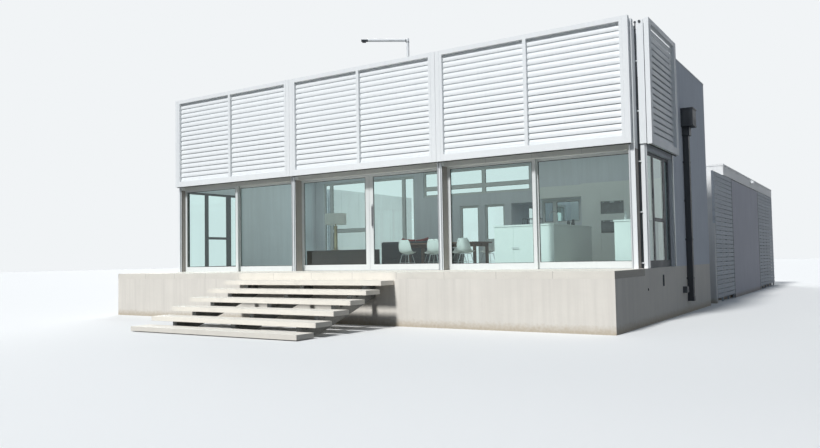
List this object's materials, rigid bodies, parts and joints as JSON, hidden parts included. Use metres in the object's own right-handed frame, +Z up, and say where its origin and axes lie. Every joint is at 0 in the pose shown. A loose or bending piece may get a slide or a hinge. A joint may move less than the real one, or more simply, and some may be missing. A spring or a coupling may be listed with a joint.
{
  "type": "beach house",
  "caption": "Raised glazed beach pavilion with vertically sliding white louvred screens, slab steps to a terrace, and a long low slatted rear wing.",
  "frame": {"origin": "ground level at the centre of the whole house's footprint box", "axes": "+Z up, -Y out of the glazed front with the steps, +X to the right of someone facing that front"},
  "size_m": [15.332, 27.57, 8.26],
  "materials": {
    "plinth_render": "painted cement render, warm off-white",
    "terrace_concrete": "honed concrete",
    "tread_concrete": "precast concrete, smooth",
    "stair_steel": "galvanised and painted grey",
    "post_paint": "white powder coat",
    "dark_metal": "charcoal powder coat",
    "header_paint": "light grey paint",
    "wall_render": "painted cement render, light grey",
    "roof_membrane": "mineral roof membrane",
    "track_aluminium": "anodised",
    "screen_frame": "white powder coat",
    "screen_blade": "white powder coat",
    "sash_white": "white powder coat",
    "sash_grey": "grey powder coat",
    "window_glass": "tinted float glass",
    "cabinet_lacquer": "lacquered board, white",
    "white_render": "painted cement render, white",
    "fascia_paint": "white roof fascia and pale sheet",
    "slat_paint": "painted boards, pale grey",
    "fitting_plastic": "moulded pale grey plastic",
    "oven_glass": "black oven glass in a steel front",
    "table_timber": "oiled dark timber",
    "chair_shell": "moulded white shell on white legs",
    "sofa_wool": "dark grey wool",
    "cushion_linen": "red woven cloth",
    "sideboard_timber": "dark stained veneer",
    "lamp_shade": "white linen shade on a white painted stem",
    "panel_paint": "smooth painted render, warm grey"
  },
  "bodies": {
    "root": {"plinth_walls": "plinth_render", "floor_slab": "plinth_render", "terrace_walls": "plinth_render", "terrace_slab": "terrace_concrete", "stair_treads": "tread_concrete", "stair_beams": "stair_steel", "front_posts": "post_paint", "corner_posts": "post_paint", "corner_infills": "dark_metal", "header_panels": "header_paint", "front_upper_wall": "wall_render", "post_cap_beam": "post_paint", "side_wall_right": "wall_render", "side_wall_left": "wall_render", "back_wall": "wall_render", "roof_slab": "roof_membrane", "guide_rails": "track_aluminium", "door_track": "track_aluminium", "side_screen_left": "screen_frame", "side_blades_left": "screen_blade", "fixed_sashes": "sash_white", "fixed_glass": "window_glass", "side_sashes": "sash_grey", "rear_sashes": "sash_white", "downpipe": "dark_metal", "roof_mast": "post_paint", "corner_rods": "dark_metal", "wall_fittings": "fitting_plastic", "kitchen_island": "cabinet_lacquer", "kitchen_bench": "cabinet_lacquer", "tall_units": "cabinet_lacquer", "ovens": "oven_glass", "dining_table": "table_timber", "dining_chairs": "chair_shell", "sofa": "sofa_wool", "sofa_cushions": "cushion_linen", "sideboard": "sideboard_timber", "table_lamp": "lamp_shade", "wing_base": "plinth_render", "wing_floor": "plinth_render", "wing_walls": "white_render", "wing_end_walls": "white_render", "wing_roof": "fascia_paint", "court_wall": "white_render", "slat_screens": "slat_paint", "smooth_panels": "panel_paint", "link": "wall_render"},
    "door_left": {"door_left": "sash_white", "door_left_glass": "window_glass"},
    "door_right": {"door_right": "sash_white", "door_right_glass": "window_glass", "door_handle": "dark_metal"},
    "front_screen_1": {"front_screen_1": "screen_frame", "screen_blades_1": "screen_blade"},
    "front_screen_2": {"front_screen_2": "screen_frame", "screen_blades_2": "screen_blade"},
    "front_screen_3": {"front_screen_3": "screen_frame", "screen_blades_3": "screen_blade"},
    "side_screen_right": {"side_screen_right": "screen_frame", "side_blades_right": "screen_blade"}
  },
  "joints": [
    {"name": "door_left_slide", "type": "slide", "parent": "root", "child": "door_left", "axis": [-1, 0, 0], "range_m": [0, 2.27]},
    {"name": "door_right_slide", "type": "slide", "parent": "root", "child": "door_right", "axis": [1, 0, 0], "range_m": [0, 2.27]},
    {"name": "front_screen_1_lift", "type": "slide", "parent": "root", "child": "front_screen_1", "axis": [0, 0, 1], "range_m": [-2.67, 0]},
    {"name": "front_screen_2_lift", "type": "slide", "parent": "root", "child": "front_screen_2", "axis": [0, 0, 1], "range_m": [-2.67, 0]},
    {"name": "front_screen_3_lift", "type": "slide", "parent": "root", "child": "front_screen_3", "axis": [0, 0, 1], "range_m": [-2.67, 0]},
    {"name": "side_screen_right_lift", "type": "slide", "parent": "root", "child": "side_screen_right", "axis": [0, 0, 1], "range_m": [-2.67, 0]}
  ]
}
